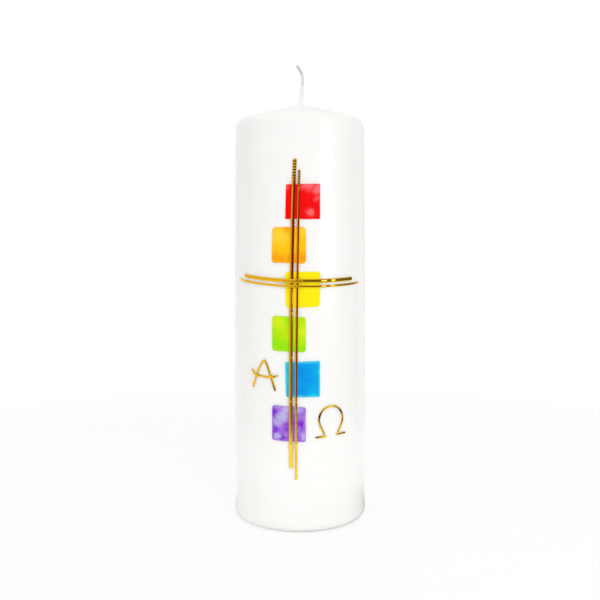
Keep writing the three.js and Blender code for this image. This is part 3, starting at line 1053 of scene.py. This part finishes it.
def softbox(name, azimuth, elevation, distance, width, height, power, mirrored):
    """A soft lamp, by its direction from the middle of the candle: azimuth 0 is the front, 90 the right.

    One that is mirrored shows in gloss alone, and the other kind lights without showing there.
    """
    lamp = bpy.data.lights.new(name, "AREA")
    lamp.shape = "RECTANGLE"
    lamp.size, lamp.size_y = width, height
    lamp.energy = power
    holder = bpy.data.objects.new(name, lamp)
    bpy.context.scene.collection.objects.link(holder)
    a, e = math.radians(azimuth), math.radians(elevation)
    towards = Vector((math.sin(a) * math.cos(e), -math.cos(a) * math.cos(e), math.sin(e)))
    holder.location = Vector((0, 0, CONE_POINT / 2)) + distance * towards
    holder.rotation_euler = towards.to_track_quat("Z", "Y").to_euler()
    holder.visible_camera = False
    holder.visible_diffuse = not mirrored
    holder.visible_glossy = mirrored


# Where everything goes
make_body()
make_wick()
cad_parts["wax_core"].data.materials.clear()
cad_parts["wax_core"].data.materials.append(core_wax())

# Squares, from their pieces in the frame, with the radius of their corners and the knife's askew cuts
SQUARES = {
    "red": square_from("tile_red", corner=0.4 * MM, left=0.2 * MM, top=0.2 * MM),
    "orange": square_from("tile_orange", corner=2 * MM, left=0.25 * MM, bottom=-0.2 * MM),
    "yellow": square_from("tile_yellow", corner=2 * MM, left=-0.3 * MM, right=0.2 * MM, bottom=0.35 * MM),
    "green": square_from("tile_green", corner=1.6 * MM, top=-0.35 * MM, bottom=-0.3 * MM),
    "blue": square_from("tile_blue", corner=0.8 * MM, left=-0.3 * MM, top=0.35 * MM),
    "violet": square_from("tile_violet", corner=1.5 * MM, top=-0.35 * MM, bottom=-0.3 * MM),
}

# Washed tones, where a blot is given by its place across and up in half squares, and its radius
PLAIN_WASH = {
    "cloud_scale": 1.1,
    "cloudy": 0.5,
    "wander": 0.5,
    "softness": 0.5,
    "deep_blots": [],
    "pale_blots": [],
    "paleness": 1.0,
    "rim_width": 0.08,
    "rim_strength": 0.4,
}
LOOKS = {
    "red": {
        "main": colour("f40002"),
        "cloud": colour("f00008"),
        "deep": colour("e80010"),
        "pale": colour("ff7478"),
        "rim": colour("f02028"),
        "deep_blots": [(0.75, -0.3, 0.4)],
        "pale_blots": [
            (0.3, 1.0, 0.6),
            (0.9, 0.65, 0.5),
            (0.9, 0.2, 0.4),
            (0.42, -0.58, 0.32),
            (-0.95, 0.8, 0.3),
        ],
        "cloud_scale": 1.8,
        "wander": 0.7,
        "softness": 1.0,
        "paleness": 0.9,
    },
    "orange": {
        "main": colour("ffca14"),
        "cloud": colour("fdbb0c"),
        "deep": colour("fb9c08"),
        "pale": colour("ffd23a"),
        "rim": colour("fbb010"),
        "deep_blots": [
            (-0.8, -0.7, 0.55),
            (-0.4, -0.8, 0.55),
            (0.0, -0.75, 0.55),
            (0.4, -0.8, 0.55),
            (0.85, -0.7, 0.6),
            (-0.1, 0.9, 0.4),
        ],
        "pale_blots": [(-0.6, 0.5, 0.8), (0.85, 0.7, 0.5)],
        "softness": 1.0,
    },
    "yellow": {
        "main": colour("fbea0c"),
        "cloud": colour("f9e504"),
        "deep": colour("f5e000"),
        "pale": colour("fdf040"),
        "rim": colour("fbef10"),
    },
    "green": {
        "main": colour("bee70c"),
        "cloud": colour("abe310"),
        "deep": colour("8ce60c"),
        "pale": colour("cfee1c"),
        "rim": colour("b4ee10"),
        "deep_blots": [
            (-0.8, -0.55, 0.6),
            (-0.4, -0.7, 0.65),
            (0.0, -0.8, 0.65),
            (0.45, -0.85, 0.6),
            (0.9, -0.85, 0.5),
            (-0.1, 0.8, 0.4),
        ],
        "pale_blots": [(0.95, 0.2, 0.7), (-0.6, 0.7, 0.7)],
        "softness": 1.0,
    },
    "blue": {
        "main": colour("00a0e6"),
        "cloud": colour("00aee8"),
        "deep": colour("0090e4"),
        "pale": colour("00c6e4"),
        "rim": colour("58dcea"),
        "deep_blots": [(-0.05, 0.4, 0.75), (-0.1, -0.55, 0.6), (0.1, -0.1, 0.6)],
        "pale_blots": [(-1.0, 0.0, 0.7), (-0.9, 0.8, 0.7), (1.0, 0.4, 0.4), (0.6, -0.9, 0.5)],
        "softness": 1.0,
        "paleness": 0.8,
        "rim_width": 0.16,
        "rim_strength": 0.7,
    },
    "violet": {
        "main": colour("9a5cd6"),
        "cloud": colour("ab86de"),
        "deep": colour("8228d0"),
        "pale": colour("bdb9e6"),
        "rim": colour("b89adf"),
        "cloud_scale": 1.6,
        "cloudy": 0.8,
        "wander": 1.1,
        "deep_blots": [
            (-0.75, -0.3, 0.45),
            (-0.05, -0.3, 0.6),
            (0.8, 0.0, 0.55),
            (-0.3, -0.85, 0.5),
            (-0.85, 0.7, 0.45),
        ],
        "pale_blots": [
            (-0.2, 0.85, 0.5),
            (-0.35, 0.45, 0.5),
            (-0.6, 0.05, 0.45),
            (0.5, 0.9, 0.35),
            (-0.6, -0.7, 0.3),
            (0.95, -0.6, 0.3),
        ],
        "softness": 0.9,
        "paleness": 0.9,
        "rim_width": 0.12,
        "rim_strength": 0.5,
    },
}
for shade, square in SQUARES.items():
    look = {**PLAIN_WASH, **LOOKS[shade], "name": shade + "_wax"}
    make_square(shade + "_square", square, washed_wax(square, look))

# Kinds of strip, where a letter's spots of painted dark reflection are listed by their middle,
# their reach and how dark they are
WIDE = {
    "width": 2.1 * MM,
    "crown": 0.8 * MM,
    "side": 0.35 * MM,
    "step": 0.16 * MM,
    "sides": 24,
    "rib_pitch": 1.6 * MM,
    "rib_depth": 0.4 * MM,
    "ribbed": wide_ribs,
    "painted_dark_spots": [],
    "taper": 0.0,
    "taper_length": 1 * MM,
}
NARROW = {
    **WIDE,
    "width": 1.25 * MM,
    "crown": 0.7 * MM,
    "sides": 20,
    "rib_pitch": 1.4 * MM,
    "rib_depth": 0.12 * MM,
    "ribbed": narrow_ribs,
}
LETTER = {
    **NARROW,
    "width": 1.1 * MM,
    "ribbed": no_ribs,
    "taper": 0.25,
    "taper_length": 0.8 * MM,
    "over": [],
}

# Strips of the cross and of the letters, each over what it crosses
over_squares = [square_support(square) for square in SQUARES.values()]
UPRIGHTS = {
    "wide_upright": {
        **WIDE,
        "node": "upright_wide",
        "route": upright_route("upright_wide", WIDE_FOOT_ALONG, WIDE_LEAN, WIDE_BEND),
        "over": over_squares,
    },
    "narrow_upright": {
        **NARROW,
        "node": "upright_narrow",
        "route": upright_route("upright_narrow", NARROW_FOOT_ALONG, NARROW_LEAN, NARROW_BEND),
        "over": over_squares,
    },
}
under_arms = over_squares + [strip_support(strip) for strip in UPRIGHTS.values()]
ARMS = {
    "wide_arm": {
        **WIDE,
        "node": "crossarm_wide",
        "route": arm_route(WIDE_ARM_ENDS, WIDE_ARM_HEIGHT),
        "over": under_arms,
        "ribbed": no_ribs,
    },
    "narrow_arm": {
        **NARROW,
        "node": "crossarm_narrow",
        "route": arm_route(NARROW_ARM_ENDS, NARROW_ARM_HEIGHT),
        "over": under_arms,
        "ribbed": no_ribs,
        "taper": 0.5,
        "taper_length": 6 * MM,
    },
}
blue, violet = SQUARES["blue"], SQUARES["violet"]
alpha = Vector((blue["along"] - blue["half_width"] - ALPHA_GAP, blue["level"] + ALPHA_RISE))
omega = Vector((violet["along"] + violet["half_width"] + OMEGA_GAP, violet["level"] + OMEGA_RISE))
# The letters carry spots of painted dark reflection, where the gold is painted brown
alpha_arch = {
    **LETTER,
    "node": "alpha_arch",
    "route": letter_route(alpha, ALPHA_ARCH),
    "painted_dark_spots": [(1, 0.5, 0.58)],
}
LETTERS = {
    "alpha_arch_strip": alpha_arch,
    "alpha_bar_strip": {
        **LETTER,
        "node": "alpha_crossbar",
        "route": letter_route(alpha, ALPHA_BAR),
        "over": [strip_support(alpha_arch)],
    },
    "omega_loop_strip": {
        **LETTER,
        "node": "omega_loop",
        "route": letter_route(omega, omega_points()),
        "painted_dark_spots": [(0.28, 0.16, 0.68), (0.68, 0.16, 0.68)],
    },
    "omega_left_foot_strip": {
        **LETTER,
        "node": "omega_left_foot",
        "route": omega_foot_route(omega, -1),
        "painted_dark_spots": [(1, 0.9, 0.55)],
    },
    "omega_right_foot_strip": {
        **LETTER,
        "node": "omega_right_foot",
        "route": omega_foot_route(omega, 1),
        "painted_dark_spots": [(1, 0.9, 0.55)],
    },
}
gold = gold_foil()
for name, strip in {**UPRIGHTS, **ARMS, **LETTERS}.items():
    lay_strip(name, strip, gold)

# Floor, room and lamps: a broad soft lamp that lights, and a low one that only shows in gloss
white_floor()
studio_world()
softbox(
    "key_softbox",
    azimuth=26,
    elevation=17,
    distance=1.1,
    width=0.7,
    height=0.7,
    power=2.5,
    mirrored=False,
)
softbox(
    "strip_softbox",
    azimuth=48,
    elevation=7,
    distance=0.85,
    width=0.36,
    height=0.34,
    power=1.1,
    mirrored=True,
)
